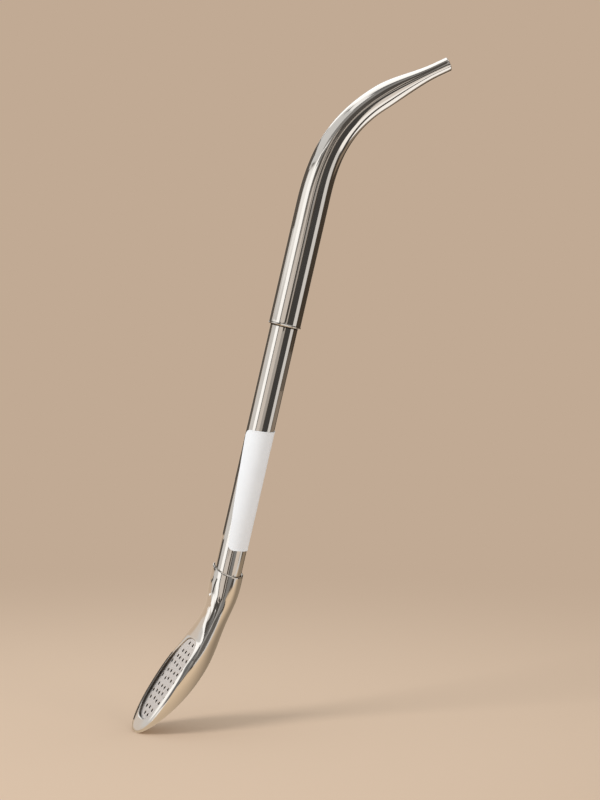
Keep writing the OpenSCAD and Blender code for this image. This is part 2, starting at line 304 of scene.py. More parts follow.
stem_length = COLLAR_DEPTH + STEM_BARE + SLEEVE_LENGTH - 2 * END_GAP
stem_line = skin_line("stem_line", stem_length, STEM_WALL, STEM_EASE, STEM_STEP)
stem_mesh = grow("stem", tube_tree, stem_line, {
    "Length": stem_length, "Radius": STEM_R, "Bend start": 0.0, "Bend end": stem_length, "Bend angle": 0.0,
    "Bend half height": STEM_R, "Press start": 1.0, "Press end": 2.0, "Mouth half height": STEM_R,
    "Mouth half width": STEM_R, "Mouth fullness": 2.0, "Material": shade_ringed_steel})
stem_up = Matrix.Translation((0, 0, END_GAP - COLLAR_DEPTH))
finish_piece("stem", stem_mesh, STANDING @ stem_up, TUBE_CREASE, "stem", "stem_tube")


# Label: a small blank sticker of white paper, die-cut with round corners and stuck on a little askew.
# It wraps about three quarters of the way round the stem and follows it closely, but for a faint wave
# and for edges that lift by a hair.
LABEL_LENGTH, LABEL_WIDTH, LABEL_CORNER = 34.5, 19.0, 1.7
LABEL_THICKNESS, LABEL_GLUE, LABEL_LIFT = 0.15, 0.02, 6.8
LABEL_SIDE, LABEL_SLANT = math.radians(4), math.tan(math.radians(5.2))
LABEL_COLUMNS, LABEL_ROWS, LABEL_CREASE = 120, 90, 50
LABEL_EDGE_LIFT, LABEL_EDGE_WIDTH = 0.05, 0.5
LABEL_WAVE, WAVE_UP, WAVE_ASIDE, WAVE_SWAY = 0.012, 0.55, 0.31, 1.3

column_at = -np.cos(np.linspace(0, math.pi, LABEL_COLUMNS + 1)) * LABEL_WIDTH / 2
row_share = -np.cos(np.linspace(0, math.pi, LABEL_ROWS + 1))
in_corner = np.maximum(np.abs(column_at) - (LABEL_WIDTH / 2 - LABEL_CORNER), 0)
half_length = LABEL_LENGTH / 2 - LABEL_CORNER + np.sqrt(np.maximum(LABEL_CORNER ** 2 - in_corner ** 2, 0))
sideways = np.repeat(column_at[:, None], LABEL_ROWS + 1, 1)
upwards = half_length[:, None] * row_share[None, :]
turn = LABEL_SIDE + (sideways - upwards * LABEL_SLANT) / STEM_R
up_label = LABEL_LIFT + LABEL_LENGTH / 2 + upwards + sideways * LABEL_SLANT
rim_near = np.minimum(LABEL_WIDTH / 2 - np.abs(sideways), half_length[:, None] - np.abs(upwards))
lifted = LABEL_EDGE_LIFT * np.exp(-(rim_near / LABEL_EDGE_WIDTH) ** 2)
waved = LABEL_WAVE * (1 + np.sin(upwards * WAVE_UP + WAVE_SWAY * np.sin(sideways * WAVE_ASIDE)))
sheets = []
for raised in (0, LABEL_THICKNESS):
    r = STEM_R + LABEL_GLUE + raised + lifted + waved
    sheets.append(np.stack([r * np.cos(turn), r * np.sin(turn), up_label], -1).reshape(-1, 3))
column = LABEL_ROWS + 1
cells = [(i * column + k, (i + 1) * column + k, (i + 1) * column + k + 1, i * column + k + 1)
         for i in range(LABEL_COLUMNS) for k in range(LABEL_ROWS)]
edge = list(range(column)) + [i * column + LABEL_ROWS for i in range(1, LABEL_COLUMNS + 1)]
edge += [LABEL_COLUMNS * column + k for k in range(LABEL_ROWS - 1, -1, -1)]
edge += [i * column for i in range(LABEL_COLUMNS - 1, 0, -1)]
per_sheet = len(sheets[0])
faces = [f[::-1] for f in cells] + [tuple(v + per_sheet for v in f) for f in cells]
faces += [(a, b, b + per_sheet, a + per_sheet) for a, b in zip(edge, edge[1:] + edge[:1])]
label_mesh = bpy.data.meshes.new("label")
label_mesh.from_pydata(np.concatenate(sheets).tolist(), [], faces)
flat_place = np.stack([sideways, upwards, np.zeros_like(sideways)], -1).reshape(-1, 3)
label_mesh.attributes.new("flat", "FLOAT_VECTOR", "POINT").data.foreach_set(
    "vector", np.concatenate([flat_place, flat_place]).astype(np.float32).ravel())

# Coated label paper: a bright, faintly cool white, smooth but for short fibres pressed into it,
# about 0.6 mm long and 0.15 mm wide, which mottle its colour and its sheen.
PAPER, PAPER_PALE, FIBRE_WIDTH, FIBRE_LENGTH, CLOUD_SIZE = "#E6EAEE", "#F2F5F9", 0.15, 0.6, 4
label_paper, tree = new_material("coated_label_paper")
laid_flat = add(tree, "ShaderNodeAttribute", attribute_name="flat")
fibres_at = add(tree, "ShaderNodeMapping", {
    "Vector": laid_flat.outputs["Vector"], "Scale": (1 / FIBRE_WIDTH, 1 / FIBRE_LENGTH, 1.0)})
fibres = add(tree, "ShaderNodeTexNoise", {"Vector": fibres_at, "Scale": 1.0, "Detail": 3.0})
clouds = add(tree, "ShaderNodeTexNoise", {
    "Vector": laid_flat.outputs["Vector"], "Scale": 1 / CLOUD_SIZE, "Detail": 2.0})
mottled = add(tree, "ShaderNodeMath", {0: fibres, 1: clouds}, operation="MULTIPLY")
white = add(tree, "ShaderNodeMix", {
    "Factor": mottled, 6: colour(PAPER), 7: colour(PAPER_PALE)}, data_type="RGBA")
dull = add(tree, "ShaderNodeMapRange", {"Value": fibres, "To Min": 0.5, "To Max": 0.68})
pressed_in = add(tree, "ShaderNodeBump", {"Height": fibres, "Strength": 0.3, "Distance": 0.00001})
shader = add(tree, "ShaderNodeBsdfPrincipled", {
    "Specular IOR Level": 0.35, "Base Color": white.outputs[2], "Roughness": dull, "Normal": pressed_in})
add(tree, "ShaderNodeOutputMaterial", {"Surface": shader})
label_mesh.materials.append(label_paper)
finish_piece("paper_label", label_mesh, STANDING, LABEL_CREASE, "stem", "label")


# Spoon: a strainer pressed from thin stainless sheet, with a round neck whose collar takes the stem and a
# belly behind. The neck's front sinks to a flat face, cut out to leave a ledge for the plate, and the rim
# is rolled over the plate's edge. The collar's end is cut at a slant and its lip is rounded over.
SHEET, SOCKET_R = 0.55, 4.05
TUBE_R = SOCKET_R + SHEET
SPOON_LENGTH, NECK_STRAIGHT, NECK_LENGTH, NECK_BEND = 53.4, 3.0, 10.0, math.radians(21.5)
SHOULDER_AT, BELLY_AT, WIDEST_AT = 8.0, 28.0, 36.0
BOWL_WIDTH, BOWL_DEPTH, RIM_HEIGHT = 19.0, 7.4, 0.9
RIM_FULLNESS, NOSE_FULLNESS, HEEL_FULLNESS = 3.0, 2.3, 0.85
COLLAR_SLANT, COLLAR_SLANT_SIDE, COLLAR_SLANT_FADE = math.tan(math.radians(15)), math.radians(-54), 5.0
SOCKET_FADE, SPOON_TURN, SPOON_CREASE = 2.5, math.radians(20), 32
PLATE_LENGTH, PLATE_WIDTH, PLATE_THICKNESS, PLATE_TO_TIP = 27.2, 15.0, 0.4, 4.0
PLATE_GAP, PLATE_FULLNESS, LEDGE_WIDTH, LEDGE_THICKNESS = 0.1, 2.8, 0.8, 0.6
DIP_FROM, DIP_TO, DIP_RISE, DIP_END = 19.0, 32.0, 0.11, 0.36
PLATE_MIDDLE = SPOON_LENGTH - PLATE_TO_TIP - PLATE_LENGTH / 2
PLATE_TOP = PLATE_MIDDLE - PLATE_LENGTH / 2
CAVITY_PAST_PLATE, LEAST_HALF = 0.6, 0.02
SPOON_SIDES, OUTER_RINGS, NOSE_RINGS, INNER_RINGS, LIP_RINGS = 160, 110, 49, 80, 9
SPINE_POINTS, ARC_POINTS, OUTLINE_POINTS = 4001, 1201, 2401


def ramp(t):
    """A smooth step from 0 to 1."""
    c = np.clip(t, 0, 1)
    return c * c * (3 - 2 * c)


def mix(a, b, t):
    return a + (b - a) * t


def neck_turn(s):
    """Angle by which the spine has bent away from the stem at length s."""
    return NECK_BEND * ramp((s - NECK_STRAIGHT) / NECK_LENGTH)


fine_s = np.linspace(0, SPOON_LENGTH, SPINE_POINTS)
fine_mid = neck_turn((fine_s[1:] + fine_s[:-1]) / 2)
fine_step = fine_s[1]
fine_x = np.concatenate([[0], np.cumsum(np.sin(fine_mid))]) * fine_step
fine_z = np.concatenate([[0], np.cumsum(np.cos(fine_mid))]) * fine_step


def nose(s):
    """Share of the full width and height that the rounded end of the spoon has at length s."""
    t = np.clip((s - WIDEST_AT) / (SPOON_LENGTH - WIDEST_AT), 0, 1)
    return (1 - t ** NOSE_FULLNESS) ** (1 / NOSE_FULLNESS)


def face_share(s):
    """How far the neck's round front has turned into the flat face at length s."""
    return ramp((s - NECK_STRAIGHT) / (PLATE_TOP - NECK_STRAIGHT))


def half_width(s):
    return nose(s) * mix(TUBE_R, BOWL_WIDTH / 2, ramp((s - SHOULDER_AT) / (WIDEST_AT - SHOULDER_AT)))


def back_depth(s):
    if s < BELLY_AT:
        return mix(TUBE_R, BOWL_DEPTH, ramp((s - SHOULDER_AT) / (BELLY_AT - SHOULDER_AT)))
    return BOWL_DEPTH * (1 - ((s - BELLY_AT) / (SPOON_LENGTH - BELLY_AT)) ** 2) ** HEEL_FULLNESS


def front_height(s):
    """Height of the front skin, which sinks down the neck to meet the plate's upper end almost level."""
    high = np.sqrt(nose(s)) * mix(TUBE_R, RIM_HEIGHT, face_share(s))
    low = DIP_END + DIP_RISE * np.maximum(PLATE_TOP - s, 0)
    sinking = ramp((s - SHOULDER_AT) / (DIP_FROM - SHOULDER_AT))
    return mix(high, np.minimum(high, low), sinking * ramp((DIP_TO - s) / (DIP_TO - PLATE_TOP)))


def rim_shape(s):
    """How full the front's oval is at length s, where 2 is round."""
    return mix(2.0, RIM_FULLNESS, ramp((s - PLATE_TOP) / (DIP_TO - PLATE_TOP)))


def evenly(x, y, count):
    """Evenly spaced points along a line of points, without its last one."""
    run = np.concatenate([[0], np.cumsum(np.hypot(np.diff(x), np.diff(y)))])
    at = np.linspace(0, run[-1], count + 1)[:-1]
    return np.stack([np.interp(at, run, x), np.interp(at, run, y)], -1)


def even_arc(wide, high, shape):
    """Half of a section's points, from one side of an oval over the top to the other."""
    a = np.linspace(0, math.pi, ARC_POINTS)
    x = wide * np.sign(np.cos(a)) * np.abs(np.cos(a)) ** (2 / shape)
    y = high * np.sin(a).clip(0) ** (2 / shape)
    return evenly(x, y, SPOON_SIDES // 2)


def spoon_ring(s, inside, deep):
    """A section of the spoon at length s, outside or inside, with its lip set deep into the wall."""
    if inside:
        front = mix(SOCKET_R, -PLATE_THICKNESS - LEDGE_THICKNESS, face_share(s))
    else:
        front = front_height(s) - deep
    wide, back = max(half_width(s) - deep, LEAST_HALF), max(back_depth(s) - deep, LEAST_HALF)
    q = np.concatenate([even_arc(wide, front, rim_shape(s)), even_arc(wide, back, 2.0) * -1])
    straightened = 1 - ramp((s - COLLAR_DEPTH) / SOCKET_FADE) if inside else 0.0
    a = neck_turn(s) * (1 - straightened)
    x = np.interp(s, fine_s, fine_x) * (1 - straightened)
    z = mix(np.interp(s, fine_s, fine_z), s, straightened)
    ring = np.stack([x + math.cos(a) * q[:, 1], q[:, 0], z - math.sin(a) * q[:, 1]], -1)
    hung_x = -ring[:, 0] * math.cos(SPOON_TURN) - ring[:, 1] * math.sin(SPOON_TURN)
    hung_y = -ring[:, 0] * math.sin(SPOON_TURN) + ring[:, 1] * math.cos(SPOON_TURN)
    fall = COLLAR_SLANT * (hung_x * math.cos(COLLAR_SLANT_SIDE) + hung_y * math.sin(COLLAR_SLANT_SIDE))
    ring[:, 2] += fall * max(1 - s / COLLAR_SLANT_FADE, 0)
    return ring


def between_rings(count, sides):
    """Four-sided faces that join each ring of points to the next."""
    pairs = [(j, (j + 1) % sides) for j in range(sides)]
    return [(i + j, i + k, i + sides + k, i + sides + j)
            for i in range(0, (count - 1) * sides, sides) for j, k in pairs]


lip_r = SHEET / 2
nose_at = WIDEST_AT + (SPOON_LENGTH - WIDEST_AT) * np.sin(np.linspace(0, math.pi / 2, NOSE_RINGS))[1:-1]
outer_at = np.concatenate([np.linspace(lip_r, WIDEST_AT, OUTER_RINGS), nose_at])
inner_at = np.linspace(lip_r, SPOON_LENGTH - PLATE_TO_TIP + CAVITY_PAST_PLATE, INNER_RINGS)
lip_turn = np.linspace(0, math.pi, LIP_RINGS)[1:-1]
sections = [spoon_ring(s, False, 0.0) for s in outer_at[::-1]]
sections += [spoon_ring(lip_r * (1 - math.sin(t)), False, lip_r * (1 - math.cos(t))) for t in lip_turn]
sections += [spoon_ring(s, True, SHEET) for s in inner_at]
tip = np.array([fine_x[-1], 0, fine_z[-1]])
points = np.concatenate(sections + [[tip], [sections[-1].mean(0)]])
tip_index, end_index = len(points) - 2, len(points) - 1
last = (len(sections) - 1) * SPOON_SIDES
turned_on = [(j, (j + 1) % SPOON_SIDES) for j in range(SPOON_SIDES)]
faces = between_rings(len(sections), SPOON_SIDES)
faces += [(tip_index, k, j) for j, k in turned_on]
faces += [(end_index, last + j, last + k) for j, k in turned_on]
spoon_mesh = bpy.data.meshes.new("spoon")
spoon_mesh.from_pydata(points.tolist(), [], faces)
spoon_mesh.materials.append(polished_steel)

# FACE lays the plate's own plane, with x to the spoon's tip, y across and z outwards, on the spoon.
face_turn = Matrix(((math.cos(NECK_BEND), 0, math.sin(NECK_BEND)), (0, -1, 0),
                    (-math.sin(NECK_BEND), 0, math.cos(NECK_BEND)))).to_4x4()
FACE = Matrix.Translation((np.interp(PLATE_MIDDLE, fine_s, fine_x), 0,
                           np.interp(PLATE_MIDDLE, fine_s, fine_z))) @ face_turn @ Matrix(
    ((0, 0, 1, 0), (0, 1, 0, 0), (1, 0, 0, 0), (0, 0, 0, 1)))


# The plate's seat is cut into the face, and the window through the ledge. The rim is rolled a little over
# the plate's edge to hold it, wherever it stands high enough, and rounded where it ends.
SEAT_POINTS, SEAT_EASE, SEAT_STEP, SEAT_BEYOND = 240, 0.22, 0.01, 0.7
RIM_LAP, RIM_LIFT, RIM_LEAST, LAP_FROM, LAP_OVER = 0.45, 0.06, 0.03, 0.15, 0.2
EASE_TURN, EASE_LEFT, EASE_LOOPS = math.radians(60), 0.13, 5
WINDOW_UNDER, WINDOW_OVER = 0.8, 0.2


def plate_outline(grown):
    """Points of the plate's outline, grown outwards, with x to the spoon's tip and y across."""
    a = np.linspace(0, math.tau, OUTLINE_POINTS)
    c, d = np.cos(a), np.sin(a)
    x = (PLATE_LENGTH / 2 + grown) * np.sign(c) * np.abs(c) ** (2 / PLATE_FULLNESS)
    y = (PLATE_WIDTH / 2 + grown) * np.sign(d) * np.abs(d) ** (2 / PLATE_FULLNESS)
    return evenly(x, y, SEAT_POINTS)


def face_height(p):
    """Height of the spoon's rolled rim above the face plane at points x, y of the face."""
    s = PLATE_MIDDLE + p[:, 0]
    share = np.clip(np.abs(p[:, 1]) / half_width(s), 0, 1)
    return front_height(s) * (1 - share ** rim_shape(s)) ** (1 / rim_shape(s))


def cutter(loops):
    """A closed solid through loops of points on the face, capped flat at both ends."""
    n = len(loops[0])
    caps = [tuple(range(n))[::-1], tuple((len(loops) - 1) * n + j for j in range(n))]
    mesh = bpy.data.meshes.new("cutter")
    mesh.from_pydata(np.concatenate(loops).tolist(), [], between_rings(len(loops), n) + caps)
    mesh.transform(FACE)
    return put("cutter", mesh)


lapped = ramp((face_height(plate_outline(PLATE_GAP)) - LAP_FROM) / LAP_OVER)[:, None]


def loop_at(grown, height, lap=0.0):
    """A loop round the plate at a height over the face, which laps inwards where the rim stands high."""
    p = mix(plate_outline(grown), plate_outline(grown - lap), lapped)
    return np.concatenate([p, np.broadcast_to(height, len(p))[:, None]], 1)


edge_height = face_height(loop_at(PLATE_GAP, 0.0, RIM_LAP)[:, :2])
under_rim = np.minimum(RIM_LIFT, edge_height - SEAT_EASE - RIM_LEAST)
over_rim = edge_height - SEAT_EASE * EASE_LEFT + SEAT_BEYOND / math.tan(EASE_TURN)
seat_loops = [loop_at(PLATE_GAP, -PLATE_THICKNESS), loop_at(PLATE_GAP, under_rim)]
seat_loops += [loop_at(PLATE_GAP, under_rim + SEAT_STEP, RIM_LAP)]
seat_loops += [
    loop_at(PLATE_GAP + SEAT_EASE * (1 - math.cos(t)), edge_height - SEAT_EASE * (1 - math.sin(t)), RIM_LAP)
    for t in np.linspace(0, EASE_TURN, EASE_LOOPS)]
seat_loops += [
    loop_at(PLATE_GAP + SEAT_EASE / 2 + SEAT_BEYOND, h, RIM_LAP) for h in (over_rim, 3 * RIM_HEIGHT)]
window_foot = -PLATE_THICKNESS - LEDGE_THICKNESS - WINDOW_UNDER
window_loops = [loop_at(-LEDGE_WIDTH, h) for h in (window_foot, WINDOW_OVER)]

shell = put("shell", spoon_mesh)
cutters = [cutter(seat_loops), cutter(window_loops)]
for one in cutters:
    cut = shell.modifiers.new("cut", "BOOLEAN")
    cut.operation, cut.solver, cut.object = "DIFFERENCE", "EXACT", one
cut_mesh = settle(shell)
for one in cutters:
    bpy.data.objects.remove(one)


def keep_places(mesh):
    """Stores each point's place before the piece is hung, for its material, and returns the places."""
    places = np.zeros(len(mesh.vertices) * 3, np.float32)
    mesh.vertices.foreach_get("co", places)
    mesh.attributes.new("unbent", "FLOAT_VECTOR", "POINT").data.foreach_set("vector", places)
    return places.reshape(-1, 3)


# Painted shade darkens the wall of the plate's seat, between the ledge and the rim, but for its upper end:
# the shade of the recess under the rolled rim, mixed in as dark brown.
SHADE_MOST, SHADE_FROM, SHADE_FULL, SEAT_REACH = 0.85, -11.0, -7.0, 1.03
RIM_UNSHADED, RIM_UNSHADED_FADE, LEDGE_UNSHADED, LEDGE_UNSHADED_FADE = 0.12, 0.1, 0.8, 0.3
places = keep_places(cut_mesh)
x, y, h = (np.c_[places, np.ones(len(places))] @ np.array(FACE.inverted()).T)[:, :3].T
spread = np.abs(x / (PLATE_LENGTH / 2 + PLATE_GAP)) ** PLATE_FULLNESS
spread += np.abs(y / (PLATE_WIDTH / 2 + PLATE_GAP)) ** PLATE_FULLNESS
within = spread < SEAT_REACH
x, y, h = x[within], y[within], h[within]
below_rim = ramp((face_height(np.c_[x, y]) - RIM_UNSHADED - h) / RIM_UNSHADED_FADE)
above_ledge = ramp((h + LEDGE_UNSHADED) / LEDGE_UNSHADED_FADE)
seat_shade = np.zeros(len(places), np.float32)
seat_shade[within] = SHADE_MOST * below_rim * above_ledge * ramp((x - SHADE_FROM) / (SHADE_FULL - SHADE_FROM))
cut_mesh.attributes.new("tea", "FLOAT", "POINT").data.foreach_set("value", seat_shade)
spoon_steel, tree, shade_share = shaded_copy("seat_shaded_stainless_steel")
tree.links.new(add(tree, "ShaderNodeAttribute", attribute_name="tea").outputs["Fac"], shade_share)
cut_mesh.materials[0] = spoon_steel
HANGING = Matrix.Rotation(SPOON_TURN, 4, "Z") @ Matrix.Rotation(math.pi, 4, "Y")
finish_piece("spoon", cut_mesh, STANDING @ HANGING, SPOON_CREASE, "spoon", "spoon_shell")


# Filter plate: thin stainless sheet cut to the spoon's window and laid on its ledge.
# Round holes are punched through it by hand in staggered rows, so they wander a little, and each
# punch has drawn the front edge of its hole down into a small funnel.
HOLE_D, HOLE_PITCH, HOLE_MARGIN, HOLE_SIDES, PLATE_CREASE = 1.0, 2.7, 1.3, 20, 30
HOLE_FUNNEL, HOLE_FUNNEL_DEPTH, HOLE_WANDER, HOLE_SEED = 0.08, 0.1, 0.4, 7
ROW_PITCH = HOLE_PITCH * math.sin(math.radians(60))

row_count = math.floor(PLATE_LENGTH / 2 / ROW_PITCH)
column_count = math.ceil(PLATE_WIDTH / 2 / HOLE_PITCH) + 1
holes = [(i * ROW_PITCH, (j + abs(i) % 2 / 2) * HOLE_PITCH, 0)
         for i in range(-row_count, row_count + 1) for j in range(-column_count, column_count + 1)]
holes = [p for p in holes
         if abs(p[0] / (PLATE_LENGTH / 2 - HOLE_MARGIN)) ** PLATE_FULLNESS
         + abs(p[1] / (PLATE_WIDTH / 2 - HOLE_MARGIN)) ** PLATE_FULLNESS <= 1]
rim_points = [(x, y, 0) for x, y in plate_outline(0)]
rim_edges = [(i, (i + 1) % SEAT_POINTS) for i in range(SEAT_POINTS)]
plate_start = bpy.data.meshes.new("plate_start")
plate_start.from_pydata(rim_points + holes, rim_edges, [])
plate_start.attributes.new("hole", "BOOLEAN", "POINT").data.foreach_set(
    "value", [i >= SEAT_POINTS for i in range(SEAT_POINTS + len(holes))])

tree, given = new_tree("punched_plate", {
    "Marks": "Geometry", "Thickness": "Float", "Hole radius": "Float", "Funnel": "Float",
    "Funnel depth": "Float", "Wander": "Float", "Seed": "Int", "Material": "Material"})
is_hole = add(tree, "GeometryNodeInputNamedAttribute", {"Name": "hole"}, data_type="BOOLEAN")
parted = add(tree, "GeometryNodeSeparateGeometry", {
    "Geometry": given["Marks"], "Selection": is_hole}, domain="POINT")
marks, rim = parted.outputs["Selection"], parted.outputs["Inverted"]
least = add(tree, "ShaderNodeMath", {0: given["Wander"], 1: -1.0}, operation="MULTIPLY")
strayed = add(tree, "FunctionNodeRandomValue", {
    0: add(tree, "ShaderNodeCombineXYZ", {"X": least, "Y": least}),
    1: add(tree, "ShaderNodeCombineXYZ", {"X": given["Wander"], "Y": given["Wander"]}),
    "Seed": given["Seed"]}, data_type="FLOAT_VECTOR")
punched_at = add(tree, "GeometryNodeSetPosition", {"Geometry": marks, "Offset": strayed})
mouth_r = add(tree, "ShaderNodeMath", {0: given["Hole radius"], 1: given["Funnel"]})
rim_line = add(tree, "GeometryNodeMeshToCurve", {"Mesh": rim})
down = add(tree, "ShaderNodeMath", {0: given["Thickness"], 1: -1.0}, operation="MULTIPLY")
to_back = add(tree, "ShaderNodeCombineXYZ", {"Z": down})
skins = []
for radius in (mouth_r, given["Hole radius"]):
    circle = add(tree, "GeometryNodeCurvePrimitiveCircle", {
        "Resolution": HOLE_SIDES, "Radius": radius})
    rounds = add(tree, "GeometryNodeInstanceOnPoints", {"Points": punched_at, "Instance": circle})
    rounds = add(tree, "GeometryNodeRealizeInstances", {"Geometry": rounds})
    joined = add(tree, "GeometryNodeJoinGeometry", {"Geometry": [rim_line, rounds]})
    skins.append(add(tree, "GeometryNodeFillCurve", {"Curve": joined}))
back = add(tree, "GeometryNodeTransform", {"Geometry": skins[1], "Translation": to_back})
back = add(tree, "GeometryNodeFlipFaces", {"Mesh": back})
edge_wall = add(tree, "GeometryNodeExtrudeMesh", {
    "Mesh": rim, "Offset": add(tree, "ShaderNodeCombineXYZ", {"Z": -1.0}),
    "Offset Scale": given["Thickness"]}, mode="EDGES")
funnel = add(tree, "GeometryNodeMeshCone", {
    "Vertices": HOLE_SIDES, "Radius Top": mouth_r, "Radius Bottom": given["Hole radius"],
    "Depth": given["Funnel depth"]}, fill_type="NONE")
funnel_down = add(tree, "ShaderNodeMath", {0: given["Funnel depth"], 1: -1.0}, operation="MULTIPLY")
funnel = add(tree, "GeometryNodeTransform", {
    "Geometry": funnel.outputs["Mesh"],
    "Translation": add(tree, "ShaderNodeCombineXYZ", {"Z": funnel_down})})
bore_depth = add(tree, "ShaderNodeMath", {
    0: given["Thickness"], 1: given["Funnel depth"]}, operation="SUBTRACT")
bore = add(tree, "GeometryNodeMeshCone", {
    "Vertices": HOLE_SIDES, "Radius Top": given["Hole radius"], "Radius Bottom": given["Hole radius"],
    "Depth": bore_depth}, fill_type="NONE")
bore = add(tree, "GeometryNodeTransform", {"Geometry": bore.outputs["Mesh"], "Translation": to_back})
punch = add(tree, "GeometryNodeJoinGeometry", {"Geometry": [funnel, bore]})
walls = add(tree, "GeometryNodeInstanceOnPoints", {"Points": punched_at, "Instance": punch})
every = add(tree, "GeometryNodeJoinGeometry", {
    "Geometry": [skins[0], back, edge_wall.outputs["Mesh"], walls]})
real = add(tree, "GeometryNodeRealizeInstances", {"Geometry": every})
sewn = add(tree, "GeometryNodeMergeByDistance", {"Geometry": real, "Distance": 0.002})
dressed = add(tree, "GeometryNodeSetMaterial", {"Geometry": sewn, "Material": given["Material"]})
add(tree, "NodeGroupOutput", {"Geometry": dressed})
plate_tree = tree

# Satin stainless sheet, as rolled: a soft silver with straight rolling marks 0.2 mm apart along the plate,
# a mottled dullness from tea and washing, and painted shade of thin brown in the holes and along the lower
# edge, under the rim.
SATIN, SATIN_PALE, THIN_SHADE_BROWN, EDGE_SHADE, EDGE_FROM = "#DAD5D1", "#E8E4E1", "#4A3A2B", 0.6, 0.84
ROLL_SPACING, ROLL_LENGTH, WASH_SIZE, HOLE_UNSHADED = 0.2, 6, 3, 0.03
satin_steel, tree = new_material("satin_stainless_sheet")
flat_plate = add(tree, "ShaderNodeAttribute", attribute_name="unbent")
rolled_at = add(tree, "ShaderNodeMapping", {
    "Vector": flat_plate.outputs["Vector"], "Scale": (1 / ROLL_LENGTH, 1 / ROLL_SPACING, 1.0)})
rolled = add(tree, "ShaderNodeTexNoise", {"Vector": rolled_at, "Scale": 1.0, "Detail": 3.0})
washed = add(tree, "ShaderNodeTexNoise", {
    "Vector": flat_plate.outputs["Vector"], "Scale": 1 / WASH_SIZE, "Detail": 4.0})
tint = add(tree, "ShaderNodeMix", {
    "Factor": washed, 6: colour(SATIN), 7: colour(SATIN_PALE)}, data_type="RGBA")
on_plate = add(tree, "ShaderNodeSeparateXYZ", {0: flat_plate.outputs["Vector"]})
outward = 0.0
for side, half in (("X", PLATE_LENGTH / 2), ("Y", PLATE_WIDTH / 2)):
    part = add(tree, "ShaderNodeMath", {0: on_plate.outputs[side], 1: half}, operation="DIVIDE")
    part = add(tree, "ShaderNodeMath", {0: part}, operation="ABSOLUTE")
    part = add(tree, "ShaderNodeMath", {0: part, 1: PLATE_FULLNESS}, operation="POWER")
    outward = add(tree, "ShaderNodeMath", {0: part, 1: outward})
# Painted shade of thin brown: along the plate's edge where the rim laps over it, fading out at its upper
# end, and down each hole below its funnel.
lower_end = add(tree, "ShaderNodeMapRange", {
    "Value": on_plate.outputs["X"], "From Min": SHADE_FROM, "From Max": SHADE_FULL, "To Max": EDGE_SHADE})
shaded_edge = add(tree, "ShaderNodeMapRange", {
    "Value": outward, "From Min": EDGE_FROM, "From Max": 1.0, "To Max": lower_end})
hole_shade = add(tree, "ShaderNodeMapRange", {
    "Value": on_plate.outputs["Z"], "From Min": -HOLE_UNSHADED, "From Max": -HOLE_FUNNEL_DEPTH,
    "To Max": SHADE_MOST})
shaded = add(tree, "ShaderNodeMath", {0: shaded_edge, 1: hole_shade}, operation="MAXIMUM")
tea = add(tree, "ShaderNodeMix", {
    "Factor": shaded, 6: tint.outputs[2], 7: colour(THIN_SHADE_BROWN)}, data_type="RGBA")
dull = add(tree, "ShaderNodeMapRange", {"Value": washed, "To Min": 0.36, "To Max": 0.5})
grooved = add(tree, "ShaderNodeBump", {"Height": rolled, "Strength": 0.3, "Distance": 0.00001})
shader = add(tree, "ShaderNodeBsdfPrincipled", {
    "Metallic": 1.0, "Base Color": tea.outputs[2], "Roughness": dull, "Normal": grooved})
add(tree, "ShaderNodeOutputMaterial", {"Surface": shader})

plate_mesh = grow("plate", plate_tree, plate_start, {
    "Thickness": PLATE_THICKNESS, "Hole radius": HOLE_D / 2, "Funnel": HOLE_FUNNEL,
    "Funnel depth": HOLE_FUNNEL_DEPTH, "Wander": HOLE_WANDER, "Seed": HOLE_SEED, "Material": satin_steel})
keep_places(plate_mesh)
plate_place = STANDING @ HANGING @ FACE
finish_piece(
    "strainer_plate", plate_mesh, plate_place, PLATE_CREASE, "spoon", "filter_plate")


# Mouthpiece: a wider stainless tube that slips over the stem's upper end, bent over cold so that
# the bend draws it slightly oval, then pressed flat and a little wider at the mouth.
# Its mouth is rounded over, so that it is smooth to drink from, and its lip flares over the stem.
BEND_LENGTH, BEND_ANGLE, TIP_LENGTH, BEND_HEIGHT = 49.0, math.radians(52), 10.3, 7.2
PRESS_LENGTH, MOUTH_FLAT, MOUTH_HEIGHT, MOUTH_WIDTH, MOUTH_FULLNESS = 21.5, 3.7, 4.0, 12.0, 2.6
MOUTH_EASE, MOUTH_STEP, LIP_FLARE = SHEET * 0.45, 0.7, 0.2
bend_end = SLEEVE_LENGTH + BEND_LENGTH
mouth_end = bend_end + TIP_LENGTH
mouth_line = skin_line("mouth_line", mouth_end, SHEET, MOUTH_EASE, MOUTH_STEP, LIP_FLARE)
mouth_mesh = grow("mouth", tube_tree, mouth_line, {
    "Length": mouth_end, "Radius": TUBE_R, "Bend start": SLEEVE_LENGTH, "Bend end": bend_end,
    "Bend angle": BEND_ANGLE, "Bend half height": BEND_HEIGHT / 2, "Press start": mouth_end - PRESS_LENGTH,
    "Press end": mouth_end - MOUTH_FLAT, "Mouth half height": MOUTH_HEIGHT / 2,
    "Mouth half width": MOUTH_WIDTH / 2, "Mouth fullness": MOUTH_FULLNESS, "Material": polished_steel})
mouth_place = STANDING @ Matrix.Translation((0, 0, STEM_BARE))
finish_piece(
    "mouthpiece_tube", mouth_mesh, mouth_place, TUBE_CREASE, "mouthpiece", "mouthpiece")


